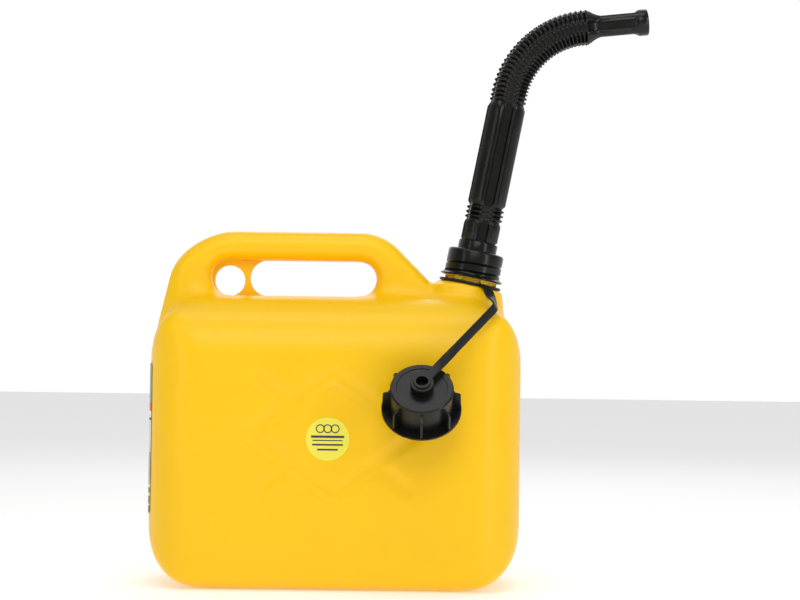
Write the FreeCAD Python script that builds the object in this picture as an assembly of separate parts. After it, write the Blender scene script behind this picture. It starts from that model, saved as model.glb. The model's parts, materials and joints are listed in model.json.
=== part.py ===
"""Five-litre plastic fuel can with a screw-on flexible pouring spout and a tethered screw cap.

Frame: origin at the middle of the underside, +X towards the spout end, -Y towards the front face that
the cap hangs in front of, +Z up. Millimetres.
The can is one hollow blow moulding with its handle, the web beside the grip and the threaded neck. The
spout is one soft moulding too. It is drawn as a base, a tube, five bellows links and a nozzle, so that
the bellows can bend. The tether is drawn as a ring, an upper band and a lower band with its eyelet, so
that it can flex at its two folds.
"""

import math
import os

import FreeCAD
import Part

V = FreeCAD.Vector

# ---------------------------------------------------------------- driving dimensions
CAN_WIDTH = 265.0  # X
CAN_DEPTH = 130.0  # Y
CAN_HEIGHT = 254.5  # floor to the top of the handle
SHOULDER_Z = 208.0  # top of the tank between the handle legs
WALL = 1.6
HAIR = 0.05  # keeps two surfaces from lying in one plane

BOTTOM_CORNER_R = 42.0
TOP_CORNER_R = 45.0
PLAN_CORNER_R = 38.0
SHOULDER_R = 43.0
FOOT_EDGE_R = 18.0
BASE_RECESS = (150.0, 60.0, 1.5)  # length, width and depth of the panel under the can

HANDLE_DEPTH = 34.0
HANDLE_EDGE_R = 9.5
GRIP_LOW, GRIP_HIGH = 208.0, 233.9
GRIP_LEFT, GRIP_RIGHT = -64.0, 28.1
WEB_LEFT = -91.5  # the handle opening goes on behind the web to here
WEB_THICK = 3.0
FINGER_HOLE = (-78.8, 219.0, 10.95)  # x, z and radius

NECK_X, NECK_Z = 95.9, 217.5  # where the neck's axis meets the shoulder it stands on
NECK_TILT = 11.0  # degrees from upright, towards +X
TOWER_R = 25.0
NECK_R = 17.1
NECK_BORE_R = 14.9
NECK_H = 21.5
BEAD_R, BEAD_LOW, BEAD_HIGH = 18.4, 4.0, 5.6
LUG_COUNT = 6
LUG_LOW = 2.6

PITCH = 6.0
THREAD_R = 18.5  # crest of the neck's thread
THREAD_START, THREAD_TURNS = 9.5, 1.5  # height of the first ridge, and how far it winds
SKIRT_THREAD_LOW = 8.5  # where the skirt's own thread starts, on the -X side

SKIRT_R = 20.3  # outside of the spout's screw base
SKIRT_BORE_R = 18.95
SKIRT_FLANGE_R = 22.9
SKIRT_LOW, SKIRT_HIGH = 5.1, 25.3
SOCKET_R, SOCKET_HIGH = 14.6, 32.3  # the round stub above the skirt
SPOUT_WALL = 1.3
GASKET_T = 1.5

FLUTE_R = 14.6  # envelope of the fluted tube
FLUTE_WIDTH = 11.4
FLUTE_FLOOR = 11.2  # distance of a flute's floor from the axis
LOWER_BELLOWS = (48.5, 58.6)
LOWER_GAP = 1.8
TUBE_TOP = 136.5
BEND_START = 142.9  # the bellows is straight up to here
BEND_ANGLE = 73.0
BEND_RADIUS = 62.2
HINGES = 6  # along the bellows, so there are five links between them
LINK_TURN = BEND_ANGLE / HINGES
LINK_LENGTH = BEND_RADIUS * math.radians(LINK_TURN)  # from hinge to hinge
LINK_GAP = 1.1  # between two links when the bellows is straight
OVERBEND = 3.0  # degrees that each hinge can bend past its rest
GROOVE_R, RIDGE_R = 12.8, 14.2  # of the corrugations
NOZZLE_LENGTH = 46.5
NOZZLE_TIP_R = 9.65
NOZZLE_WAIST_R = 8.9

RING_R, RING_BORE_R, RING_LOW, RING_T = 22.6, 17.7, 0.35, 1.8
BAND_WIDTH, BAND_T = 6.6, 1.4
BAND_LEAVES = (0.40, -0.92, -0.08)  # direction in which the strap leaves its ring
BAND_ROOT = 3.5  # its first fold, out from the ring
BAND_FOLD = (112.4, -60.5, 200.7)  # its second fold
FOLD_GAP = 0.9  # from a fold's line to the end of the strap on each side
STUD_R, EYELET_R, EYELET_T = 5.2, 7.8, 1.8
EYELET_LOW = 3.95  # above the cap's top

CAP_R, CAP_H = 21.8, 22.9  # outside of the skirt, and height without the boss
CAP_FLANGE_R, CAP_FLANGE_T = 27.6, 1.6
CAP_TILT = 41.3  # its axis above level, towards the front
CAP_X, CAP_Z = 60.9, 144.0  # middle of its top
CAP_CLEAR = 1.7  # between its flange and the can's front
CAP_BORE_R = 18.95
CAP_RIBS = 8

STICKER_R = 15.2
STICKER_X, STICKER_Z = -4.0, 107.0
LABEL_WIDTH, LABEL_LOW, LABEL_HIGH = 80.0, 52.0, 158.0
LABEL_T = 0.25


# ---------------------------------------------------------------- small helpers
def rounded_outline(corners, to_3d):
    """A closed wire through (u, v, radius) corners, each rounded to its radius."""
    edges, ends = [], []
    n = len(corners)
    for i, (u, v, r) in enumerate(corners):
        here = V(u, v, 0)
        before = V(*corners[i - 1][:2], 0) - here
        after = V(*corners[(i + 1) % n][:2], 0) - here
        before.normalize()
        after.normalize()
        half = before.getAngle(after) / 2
        back = r / math.tan(half) if r else 0.0
        middle_way = before + after
        middle_way.normalize()
        start, end = here + before * back, here + after * back
        middle = here + middle_way * (r / math.sin(half) - r) if r else here
        ends.append((start, middle, end, r))
    for i, (start, middle, end, r) in enumerate(ends):
        if r:
            edges.append(Part.Arc(to_3d(start), to_3d(middle), to_3d(end)).toShape())
        following = ends[(i + 1) % n][0]
        if (following - end).Length > 1e-6:
            edges.append(Part.LineSegment(to_3d(end), to_3d(following)).toShape())
    return Part.Wire(edges)


def slab(corners, half_thick):
    """An XZ outline extruded both ways along Y."""
    wire = rounded_outline(corners, lambda p: V(p.x, -half_thick, p.y))
    return Part.Face(wire).extrude(V(0, 2 * half_thick, 0))


def stadium(left, right, low, high, half_thick):
    """A slab with fully round ends."""
    r = (high - low) / 2 - 0.01
    return slab([(left, low, r), (right, low, r), (right, high, r), (left, high, r)], half_thick)


def turned(points):
    """A solid of revolution about Z from (radius, height) points."""
    wire = Part.makePolygon([V(r, 0, z) for r, z in points + points[:1]])
    return Part.Face(wire).revolve(V(0, 0, 0), V(0, 0, 1), 360)


def tube(outer, inner, low, high):
    return Part.makeCylinder(outer, high - low, V(0, 0, low)).cut(
        Part.makeCylinder(inner, high - low + 2, V(0, 0, low - 1))
    )


def helical_ridge(radius, height, root, crest, low, turns, start_deg, inward=False):
    """A right-hand trapezoid ridge that starts at start_deg round the axis."""
    sign = -1 if inward else 1
    sunk = radius - 0.25 * sign
    tip = radius + height * sign
    corners = [V(sunk, 0, -root / 2), V(tip, 0, -crest / 2), V(tip, 0, crest / 2), V(sunk, 0, root / 2)]
    profile = Part.makePolygon(corners + corners[:1])
    path = Part.Wire(Part.makeHelix(PITCH, PITCH * turns, radius).Edges)
    ridge = path.makePipeShell([profile], True, True)
    ridge.rotate(V(0, 0, 0), V(0, 0, 1), start_deg)
    ridge.translate(V(0, 0, low))
    return ridge


def on_neck(shape):
    """From a frame whose Z is the neck's axis and whose origin is at the neck's foot, to the can's."""
    placed = shape.copy()
    placed.rotate(V(0, 0, 0), V(0, 1, 0), NECK_TILT)
    placed.translate(V(NECK_X, 0, NECK_Z))
    return placed


def cleaned(shape):
    """The boolean result as plain solids, with faces that lie in one surface joined where that works."""
    joined = shape.removeSplitter()
    solids = joined.Solids if joined.isValid() else shape.Solids
    return solids[0] if len(solids) == 1 else Part.Compound(solids)


# ---------------------------------------------------------------- the can
def tank(inset):
    """The tank's block, shrunk by inset on every side: the outlines seen from the front, the side and above
    meet in it. Each flat comes from one outline only, and the others stand a hair outside it."""
    half_x, half_y = CAN_WIDTH / 2 - inset, CAN_DEPTH / 2 - inset
    low, high = inset, SHOULDER_Z - inset
    top, foot = TOP_CORNER_R - inset, BOTTOM_CORNER_R - inset
    front = slab(
        [(-half_x, low, foot), (half_x, low, foot), (half_x, high, top), (-half_x, high, top)], half_y + 1
    )
    side_low, side_high = low - HAIR, high + HAIR
    side_wire = rounded_outline(
        [
            (-half_y, side_low, FOOT_EDGE_R - inset),
            (half_y, side_low, FOOT_EDGE_R - inset),
            (half_y, side_high, SHOULDER_R - inset),
            (-half_y, side_high, SHOULDER_R - inset),
        ],
        lambda p: V(-half_x - 1, p.x, p.y),
    )
    side = Part.Face(side_wire).extrude(V(2 * half_x + 2, 0, 0))
    r, plan_x, plan_y = PLAN_CORNER_R - inset, half_x + HAIR, half_y + HAIR
    plan_wire = rounded_outline(
        [(-plan_x, -plan_y, r), (plan_x, -plan_y, r), (plan_x, plan_y, r), (-plan_x, plan_y, r)],
        lambda p: V(p.x, p.y, low - 1),
    )
    plan = Part.Face(plan_wire).extrude(V(0, 0, high - low + 2))
    return front.common(side).common(plan)


def handle_outline():
    """Outer line of the handle and its legs, down into the tank."""
    left = -CAN_WIDTH / 2 + 1.0
    return [
        (left, 150, 0),
        (left, 182, 60),
        (-120.5, 228, 30),
        (-100, CAN_HEIGHT, 50),
        (32.5, CAN_HEIGHT, 34),
        (68.5, 218, 0),
        (80, 190, 0),
        (40, 175, 0),
        (-60, 175, 0),
        (-100, 150, 0),
    ]


def handle(inset):
    half = HANDLE_DEPTH / 2 - inset
    wire = rounded_outline(handle_outline(), lambda p: V(p.x, -half, p.y))
    if inset:
        wire = wire.makeOffset2D(-inset)
    body = Part.Face(wire).extrude(V(0, 2 * half, 0))
    opening = stadium(WEB_LEFT - inset, GRIP_RIGHT + inset, GRIP_LOW - inset, GRIP_HIGH + inset, half + 1)
    body = body.cut(opening)
    rims = [e for e in body.Edges if abs(abs(e.CenterOfMass.y) - half) < 1e-4 and e.BoundBox.ZMin > 178]
    return body.makeFillet(HANDLE_EDGE_R - inset, rims)


def web():
    """The flat plate beside the grip, with its finger hole."""
    x, z, r = FINGER_HOLE
    half = WEB_THICK / 2
    plate = stadium(WEB_LEFT - 2, -40, GRIP_LOW - 2, GRIP_HIGH + 2, half)
    grip = stadium(GRIP_LEFT, GRIP_RIGHT, GRIP_LOW, GRIP_HIGH, half + 1)
    hole = Part.makeCylinder(r, WEB_THICK + 2, V(x, -half - 1, z), V(0, 1, 0))
    return plate.cut(grip).cut(hole)


def tower(inset):
    """The round shoulder that the neck stands on, cut level with the neck's foot."""
    post = Part.makeCylinder(TOWER_R - inset, 90, V(NECK_X, 0, 150))
    above = on_neck(Part.makeBox(200, 200, 60, V(-100, -100, -inset)))
    post = post.cut(above)
    if inset:
        return post
    rim = [e for e in post.Edges if e.BoundBox.ZMin > 200 and e.BoundBox.XLength > TOWER_R]
    return post.makeFillet(4.0, rim)


def neck():
    """Plain neck, bead and lugs on their own axis, and the thread that is fused on last."""
    stem = Part.makeCylinder(NECK_R, NECK_H + 12, V(0, 0, -12))
    bead = Part.makeCylinder(BEAD_R, BEAD_HIGH - BEAD_LOW, V(0, 0, BEAD_LOW))
    body = stem.fuse(bead)
    for i in range(LUG_COUNT):
        lug = Part.makeBox(1.7, 2.2, BEAD_LOW - LUG_LOW + 0.5, V(NECK_R - 0.5, -1.1, LUG_LOW))
        lug.rotate(V(0, 0, 0), V(0, 0, 1), 360.0 / LUG_COUNT * (i + 0.5))
        body = body.fuse(lug)
    return body


def neck_thread():
    start_deg = 180 + (THREAD_START - (SKIRT_THREAD_LOW + PITCH / 2)) / PITCH * 360
    return helical_ridge(NECK_R, THREAD_R - NECK_R, 2.8, 1.4, THREAD_START, THREAD_TURNS, start_deg)


def can_body():
    outer = tank(0).fuse(handle(0)).fuse(tower(0)).fuse(on_neck(neck()))
    length, width, deep = BASE_RECESS
    recess_wire = rounded_outline(
        [
            (-length / 2, -width / 2, 20),
            (length / 2, -width / 2, 20),
            (length / 2, width / 2, 20),
            (-length / 2, width / 2, 20),
        ],
        lambda p: V(p.x, p.y, 0),
    )
    recess = Part.Face(recess_wire).extrude(V(0, 0, deep))
    hollow = tank(WALL)
    over = 2.0  # by which the raised floor is wider than the panel under it
    corner = V(-length / 2 - over, -width / 2 - over, WALL)
    hollow = hollow.cut(Part.makeBox(length + 2 * over, width + 2 * over, WALL, corner))
    hollow = hollow.fuse(handle(WALL)).fuse(tower(WALL))
    bore = on_neck(Part.makeCylinder(NECK_BORE_R, NECK_H + 40, V(0, 0, -30)))
    body = outer.cut(recess).cut(hollow).fuse(web_in_place()).cut(bore)
    return cleaned(body.fuse(on_neck(neck_thread()).common(on_neck(tube(30, NECK_BORE_R + 0.5, 2, NECK_H)))))


def web_in_place():
    return web().cut(handle(WALL)).cut(tank(WALL))


# ---------------------------------------------------------------- the spout
def fluted_wire(envelope, floor, width, z):
    """Outline of the fluted tube: four lobes on a circle, and a flat-floored flute between each two."""
    edges = []
    half = width / 2
    slope = 0.62  # share of the flute's half width that is its floor
    lip = math.asin(half / envelope)
    for i in range(4):
        turn = math.radians(90 * i)

        def at(x, y):
            c, s = math.cos(turn), math.sin(turn)
            return V(x * c - y * s, x * s + y * c, z)

        lip_x = envelope * math.cos(lip)
        points = [at(lip_x, -half), at(floor, -half * slope), at(floor, half * slope), at(lip_x, half)]
        for a, b in zip(points, points[1:]):
            edges.append(Part.LineSegment(a, b).toShape())
        diagonal = envelope * math.sqrt(0.5)
        other_lip = at(half, lip_x)
        edges.append(Part.Arc(points[-1], at(diagonal, diagonal), other_lip).toShape())
    return Part.Wire(edges)


def fluted(envelope, low, high, floor=None, width=FLUTE_WIDTH):
    floor = floor or FLUTE_FLOOR + envelope - FLUTE_R
    return Part.Face(fluted_wire(envelope, floor, width, low)).extrude(V(0, 0, high - low))


def bellows(low, high, count):
    """Fluted ridges, as a ruled loft that steps in and out."""
    step = (high - low) / count
    wires = []
    for i in range(count):
        wires.append(fluted_wire(GROOVE_R, FLUTE_FLOOR - 1.0, FLUTE_WIDTH, low + i * step))
        wires.append(fluted_wire(RIDGE_R, FLUTE_FLOOR - 0.4, FLUTE_WIDTH, low + (i + 0.5) * step))
    wires.append(fluted_wire(GROOVE_R, FLUTE_FLOOR - 1.0, FLUTE_WIDTH, high))
    return Part.makeLoft(wires, True, True)


def passage(low, high, radius=FLUTE_FLOOR - 1.0 - SPOUT_WALL):
    return Part.makeCylinder(radius, high - low, V(0, 0, low))


def spout_gasket():
    return tube(SKIRT_BORE_R - 0.6, NECK_BORE_R - 1.4, NECK_H + 0.05, NECK_H + 0.05 + GASKET_T)


def spout_base():
    """Screw skirt with its moulded thread, the round stub above it and the short fluted length."""
    seat = NECK_H + 0.1 + GASKET_T
    skirt = turned(
        [
            (SKIRT_BORE_R, SKIRT_LOW),
            (SKIRT_FLANGE_R, SKIRT_LOW),
            (SKIRT_FLANGE_R, SKIRT_LOW + 0.9),
            (SKIRT_R - 0.3, SKIRT_LOW + 2.0),
            (SKIRT_R, SKIRT_LOW + 3.6),
            (SKIRT_R, SKIRT_HIGH - 2.2),
            (SKIRT_R - 0.7, SKIRT_HIGH - 0.7),
            (SKIRT_R - 2.2, SKIRT_HIGH),
            (SOCKET_R, SKIRT_HIGH + 0.3),
            (SOCKET_R, SOCKET_HIGH - 0.8),
            (SOCKET_R - 0.8, SOCKET_HIGH),
            (10.0, SOCKET_HIGH),
            (10.0, seat),
            (SKIRT_BORE_R, seat),
        ]
    )
    low, high = LOWER_BELLOWS
    stem = fluted(FLUTE_R - 0.3, SOCKET_HIGH - 0.5, low)
    body = skirt.fuse(stem).fuse(bellows(low, lower_hinge() - LOWER_GAP / 2, 1))
    body = cleaned(body.cut(passage(SOCKET_HIGH - 12, high)))
    lead = 10.0  # degrees by which the dent outside starts before the ridge inside
    dent_low = SKIRT_THREAD_LOW - PITCH * lead / 360
    dent = helical_ridge(SKIRT_R, 0.75, 2.4, 1.2, dent_low, THREAD_TURNS, 180 - lead, inward=True)
    ridge = helical_ridge(SKIRT_BORE_R, 1.35, 2.2, 1.0, SKIRT_THREAD_LOW, THREAD_TURNS, 180, inward=True)
    return body.cut(dent).fuse(ridge).Solids[0]


def lower_hinge():
    return sum(LOWER_BELLOWS) / 2


def first_bend_hinge():
    """Height of the long bellows' first hinge on the neck's axis."""
    return BEND_START + LINK_LENGTH / 2


def spout_tube():
    """The long stiff length, from the lower bellows' upper half to the first ridges of the long one."""
    high = LOWER_BELLOWS[1]
    end = first_bend_hinge()
    ridges = bellows(lower_hinge() + LOWER_GAP / 2, high, 1)
    upper = bellows(TUBE_TOP, end - LINK_GAP / 2, 4)
    shape = ridges.fuse(fluted(FLUTE_R, high, TUBE_TOP)).fuse(upper)
    return cleaned(shape.cut(passage(high - 10, end + 5)).cut(inner_wedge(end, True)))


def inner_wedge(height, above):
    """What a link's end loses on the inside of the bend, so that it clears its neighbour there."""
    tilt = (LINK_TURN + OVERBEND) / 2 + 1.2
    box = Part.makeBox(80, 80, 40, V(0, -40, 0 if above else -40))
    box.rotate(V(0, 0, 0), V(0, 1, 0), tilt if above else -tilt)
    box.translate(V(0, 0, height))
    return box


def bellows_link():
    """One link, standing on its lower hinge with its axis along Z."""
    link = bellows(LINK_GAP / 2, LINK_LENGTH - LINK_GAP / 2, 4).cut(passage(-5, LINK_LENGTH + 5))
    return cleaned(link.cut(inner_wedge(0, False)).cut(inner_wedge(LINK_LENGTH, True)))


def nozzle():
    """Last ridges, the taper and the fluted nozzle with its round mouth, standing on the last hinge."""
    ridges_end = LINK_LENGTH / 2 + 0.5
    taper_end = ridges_end + 9.0
    end = ridges_end + NOZZLE_LENGTH
    mouth = end - 7.0
    waist = fluted_wire(NOZZLE_WAIST_R, NOZZLE_WAIST_R - 1.1, 5.0, taper_end)
    shoulder = fluted_wire(RIDGE_R - 0.6, FLUTE_FLOOR - 0.9, FLUTE_WIDTH, ridges_end + 2.0)
    rim = fluted_wire(NOZZLE_TIP_R, NOZZLE_TIP_R - 1.1, 5.0, mouth)
    shape = bellows(LINK_GAP / 2, ridges_end, 2)
    shape = shape.fuse(fluted(RIDGE_R - 0.6, ridges_end, ridges_end + 2.0, FLUTE_FLOOR - 0.9))
    shape = shape.fuse(Part.makeLoft([shoulder, waist], True, True))
    shape = shape.fuse(Part.makeLoft([waist, rim], True, True))
    shape = shape.fuse(Part.makeCylinder(NOZZLE_TIP_R, end - mouth, V(0, 0, mouth)))
    bore_r = NOZZLE_WAIST_R - 2.2
    hose_bore_r = FLUTE_FLOOR - 1.0 - SPOUT_WALL
    funnel = Part.makeCone(hose_bore_r, bore_r, 9.0, V(0, 0, ridges_end))
    shape = shape.cut(passage(-5, ridges_end)).cut(funnel).cut(passage(taper_end - 1, end + 1, bore_r))
    return cleaned(shape.cut(inner_wedge(0, False)))


def bend_hinge(index):
    """Where hinge index of the long bellows lies, and the axis angle of the piece that stands on it."""
    angle = NECK_TILT
    point = on_neck(Part.Vertex(0, 0, first_bend_hinge())).Point
    for _ in range(index):
        angle += LINK_TURN
        point = point + FreeCAD.Rotation(V(0, 1, 0), angle).multVec(V(0, 0, LINK_LENGTH))
    return point, angle + LINK_TURN


def on_bend(shape, index):
    point, angle = bend_hinge(index)
    placed = shape.copy()
    placed.rotate(V(0, 0, 0), V(0, 1, 0), angle)
    placed.translate(point)
    return placed


# ---------------------------------------------------------------- the cap, on its own axis
def cap():
    """Screw cap with grip ribs, a wide flange at its mouth and the hollow stud that the tether snaps on."""
    shell = turned(
        [
            (CAP_R - 0.3, 0.0),
            (CAP_FLANGE_R, 0.0),
            (CAP_FLANGE_R, CAP_FLANGE_T),
            (CAP_R - 0.3, CAP_FLANGE_T),
            (CAP_R - 0.3, CAP_H - 1.8),
            (CAP_R, CAP_H - 1.6),
            (CAP_R, CAP_H - 1.0),
            (CAP_R - 1.0, CAP_H),
            (17.6, CAP_H),
            (17.3, CAP_H - 0.5),
            (0, CAP_H - 0.5),
            (0, CAP_H - 2.6),
            (CAP_BORE_R, CAP_H - 2.6),
            (CAP_BORE_R, 0.0),
        ]
    )
    stud = turned(
        [
            (0, CAP_H - 0.7),
            (7.9, CAP_H - 0.7),
            (7.9, CAP_H + 3.2),
            (6.0, CAP_H + 3.6),
            (STUD_R, CAP_H + 3.6),
            (STUD_R, CAP_H + 6.0),
            (5.9, CAP_H + 6.5),
            (5.5, CAP_H + 7.4),
            (4.3, CAP_H + 7.4),
            (4.3, CAP_H + 1.2),
            (1.0, CAP_H + 1.2),
            (0.7, CAP_H + 2.6),
            (0, CAP_H + 2.6),
        ]
    )
    body = shell.fuse(stud)
    for i in range(CAP_RIBS):
        rib_wire = rounded_outline(
            [
                (CAP_R - 0.8, CAP_FLANGE_T - 0.5, 0),
                (CAP_FLANGE_R - 0.5, CAP_FLANGE_T - 0.5, 0),
                (CAP_FLANGE_R - 0.9, CAP_H - 6.5, 1.8),
                (CAP_R - 0.8, CAP_H - 4.6, 0),
            ],
            lambda p: V(p.x, -0.8, p.y),
        )
        rib = Part.Face(rib_wire).extrude(V(0, 1.6, 0))
        rib.rotate(V(0, 0, 0), V(0, 0, 1), 360.0 / CAP_RIBS * i)
        body = body.fuse(rib)
    for side in (1, -1):
        hole = Part.makeBox(2.4, 2.0, CAP_FLANGE_T + 2, V(24.6, 2.2, -1) if side > 0 else V(-27.0, 2.2, -1))
        body = body.cut(hole)
    thread = helical_ridge(CAP_BORE_R, 1.35, 2.2, 1.0, 3.6, 1.5, 0, inward=True)
    return cleaned(body.fuse(thread))


def cap_seal():
    return Part.makeCylinder(CAP_BORE_R - 0.6, 1.4, V(0, 0, CAP_H - 2.6 - 1.4))


CAP_AXIS = FreeCAD.Rotation(V(1, 0, 0), 90 - CAP_TILT)  # +Z to the cap's axis, towards the front and up


def cap_place():
    """Middle of the cap's top, as it hangs just clear of the front face."""
    reach = CAP_FLANGE_R * math.sin(math.radians(CAP_TILT))
    flange_y = -(CAN_DEPTH / 2 + CAP_CLEAR + reach)
    return V(CAP_X, flange_y - CAP_H * math.cos(math.radians(CAP_TILT)), CAP_Z)


def on_cap(shape):
    placed = shape.copy()
    placed.translate(V(0, 0, -CAP_H))
    placed.Placement = FreeCAD.Placement(cap_place(), CAP_AXIS).multiply(placed.Placement)
    return placed


# ---------------------------------------------------------------- the tether
def unit(v):
    v = V(v)
    v.normalize()
    return v


NECK_UP = FreeCAD.Rotation(V(0, 1, 0), NECK_TILT).multVec(V(0, 0, 1))
CAP_OUT = CAP_AXIS.multVec(V(0, 0, 1))


def tether_points():
    """Middle of the ring, the first fold, the second fold and the middle of the eyelet."""
    middle = V(NECK_X, 0, NECK_Z) + NECK_UP * (RING_LOW + RING_T / 2)
    leave = unit(V(*BAND_LEAVES) - NECK_UP * NECK_UP.dot(V(*BAND_LEAVES)))
    eyelet = cap_place() + CAP_OUT * (EYELET_LOW + EYELET_T / 2)
    return middle, leave, middle + leave * (RING_R + BAND_ROOT), V(*BAND_FOLD), eyelet


def band(start, end, across_start, across_end, steps=6):
    """A flat strap that turns evenly from one direction of its width to the other."""
    along = unit(end - start)
    across_start = unit(across_start - along * along.dot(across_start))
    across_end = unit(across_end - along * along.dot(across_end))
    twist = math.degrees(across_start.getAngle(across_end))
    if across_start.cross(across_end).dot(along) < 0:
        twist = -twist
    wires = []
    for i in range(steps + 1):
        share = i / steps
        across = FreeCAD.Rotation(along, twist * share).multVec(across_start)
        a, b = across * (BAND_WIDTH / 2), along.cross(across) * (BAND_T / 2)
        point = start + (end - start) * share
        corners = [point - a - b, point + a - b, point + a + b, point - a + b]
        wires.append(Part.makePolygon(corners + corners[:1]))
    return Part.makeLoft(wires, True, True)


def fold_axis():
    """Line of the second fold: the strap's width there, square to both runs."""
    _, _, root, fold, eyelet = tether_points()
    return unit((fold - root).cross(eyelet - fold))


def root_axis():
    """Line of the first fold, so that turning about it lifts the strap."""
    _, leave, _, _, _ = tether_points()
    return unit(leave.cross(NECK_UP))


def tether_ring():
    """The ring round the neck, with the strap's short tongue."""
    middle, leave, root, _, _ = tether_points()
    ring = on_neck(tube(RING_R, RING_BORE_R, RING_LOW, RING_LOW + RING_T))
    across = root_axis()
    tongue = band(middle + leave * (RING_R - 0.8), root - leave * FOLD_GAP, across, across, 1)
    return cleaned(ring.fuse(tongue))


def tether_upper_band():
    _, _, root, fold, _ = tether_points()
    along = unit(fold - root)
    return band(root + along * FOLD_GAP, fold - along * FOLD_GAP, -root_axis(), fold_axis())


def tether_lower_band():
    """The long run of the strap and the eyelet that turns on the cap's stud."""
    _, _, _, fold, eyelet = tether_points()
    tail = unit((fold - eyelet) - CAP_OUT * CAP_OUT.dot(fold - eyelet))
    end = eyelet + tail * (EYELET_R - 0.6)
    along = unit(end - fold)
    across = fold_axis()
    across_end = CAP_OUT.cross(tail)
    if across_end.dot(across) < 0:
        across_end = -across_end
    strap = band(fold + along * FOLD_GAP, end, across, across_end)
    loop = on_cap(tube(EYELET_R, STUD_R + 0.08, CAP_H + EYELET_LOW, CAP_H + EYELET_LOW + EYELET_T))
    stud_room = on_cap(Part.makeCylinder(STUD_R + 0.08, 12, V(0, 0, CAP_H)))
    return cleaned(loop.fuse(strap).cut(stud_room))


# ---------------------------------------------------------------- sticker and label
def front_sticker():
    centre = V(STICKER_X, -CAN_DEPTH / 2, STICKER_Z)
    return Part.makeCylinder(STICKER_R, LABEL_T, centre, V(0, -1, 0))


def side_label():
    """A paper label round the can's -X side."""
    half = LABEL_WIDTH / 2
    corners = [(-half, LABEL_LOW, 3), (half, LABEL_LOW, 3), (half, LABEL_HIGH, 3), (-half, LABEL_HIGH, 3)]
    outline = rounded_outline(corners, lambda p: V(-CAN_WIDTH, p.x, p.y))
    reach = Part.Face(outline).extrude(V(CAN_WIDTH * 0.75, 0, 0))
    return tank(-LABEL_T).cut(tank(0)).common(reach)


if __name__ == "__main__":
    os.makedirs("parts", exist_ok=True)
    made = {
        "can_body": can_body(),
        "spout_gasket": on_neck(spout_gasket()),
        "spout_base": on_neck(spout_base()),
        "spout_tube": on_neck(spout_tube()),
        "nozzle": on_bend(nozzle(), HINGES - 1),
        "cap": on_cap(cap()),
        "cap_seal": on_cap(cap_seal()),
        "tether_ring": tether_ring(),
        "tether_upper_band": tether_upper_band(),
        "tether_lower_band": tether_lower_band(),
        "front_sticker": front_sticker(),
        "side_label": side_label(),
    }
    for number in range(1, HINGES):
        made[f"bellows_link_{number}"] = on_bend(bellows_link(), number - 1)
    for name, shape in made.items():
        volume = round(shape.Volume / 1000, 2)
        print(name, "solids", len(shape.Solids), "valid", shape.isValid(), "cm3", volume)
        shape.exportStep(f"parts/{name}.step")
    print("neck axis", tuple(NECK_UP), "foot", (NECK_X, 0, NECK_Z))
    for number in range(HINGES):
        print("bend hinge", number + 1, bend_hinge(number))
    print("lower hinge", on_neck(Part.Vertex(0, 0, lower_hinge())).Point)
    print("root", tether_points()[2], root_axis())
    print("fold", tether_points()[3], -fold_axis())
    print("cap axis", CAP_OUT, tether_points()[4])
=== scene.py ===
import json
import math

import bpy
from mathutils import Matrix, Vector


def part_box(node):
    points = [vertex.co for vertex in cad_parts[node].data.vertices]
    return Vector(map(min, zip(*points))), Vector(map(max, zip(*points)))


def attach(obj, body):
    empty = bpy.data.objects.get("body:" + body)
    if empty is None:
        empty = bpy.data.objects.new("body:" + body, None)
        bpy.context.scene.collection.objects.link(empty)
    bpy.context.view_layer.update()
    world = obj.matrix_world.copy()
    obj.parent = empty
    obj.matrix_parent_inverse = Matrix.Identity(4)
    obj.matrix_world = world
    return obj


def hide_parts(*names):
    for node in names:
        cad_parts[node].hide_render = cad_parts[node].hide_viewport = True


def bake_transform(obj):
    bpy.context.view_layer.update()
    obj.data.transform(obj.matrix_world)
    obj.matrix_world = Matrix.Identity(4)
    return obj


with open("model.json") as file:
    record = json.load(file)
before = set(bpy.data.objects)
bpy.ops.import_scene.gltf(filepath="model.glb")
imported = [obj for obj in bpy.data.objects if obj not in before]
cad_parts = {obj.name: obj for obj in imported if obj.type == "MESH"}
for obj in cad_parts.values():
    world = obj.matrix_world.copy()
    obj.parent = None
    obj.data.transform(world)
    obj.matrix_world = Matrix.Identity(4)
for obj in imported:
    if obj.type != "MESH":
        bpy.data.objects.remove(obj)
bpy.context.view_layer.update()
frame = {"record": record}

# ---------------------------------------------------------------- can
# One hollow blow moulding in high-density polyethylene: the tank, the hollow handle with the thin web beside
# its grip, and the round shoulder under the neck. The two mould halves meet on the plane y = 0.
MM = 0.001


def only(obj):
    """Make obj the one selected and active object."""
    bpy.ops.object.select_all(action="DESELECT")
    obj.select_set(True)
    bpy.context.view_layer.objects.active = obj


def settle(obj, name):
    """Name a new primitive and move its size and place into its mesh."""
    only(obj)
    bpy.ops.object.transform_apply(location=True, rotation=True, scale=True)
    obj.name = obj.data.name = name
    return obj


def block(name, low, high):
    """A box from one corner to the other, in millimetres."""
    bpy.ops.object.select_all(action="DESELECT")
    middle = [(a + b) / 2 * MM for a, b in zip(low, high)]
    bpy.ops.mesh.primitive_cube_add(size=1, location=middle)
    obj = bpy.context.object
    obj.scale = [(b - a) * MM for a, b in zip(low, high)]
    return settle(obj, name)


def drum(name, radius, low, high, sides=96, start=0.0):
    """A cylinder about Z between two heights, in millimetres."""
    bpy.ops.object.select_all(action="DESELECT")
    bpy.ops.mesh.primitive_cylinder_add(
        vertices=sides, radius=radius * MM, depth=(high - low) * MM,
        location=(0, 0, (low + high) / 2 * MM), rotation=(0, 0, start))
    return settle(bpy.context.object, name)


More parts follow.
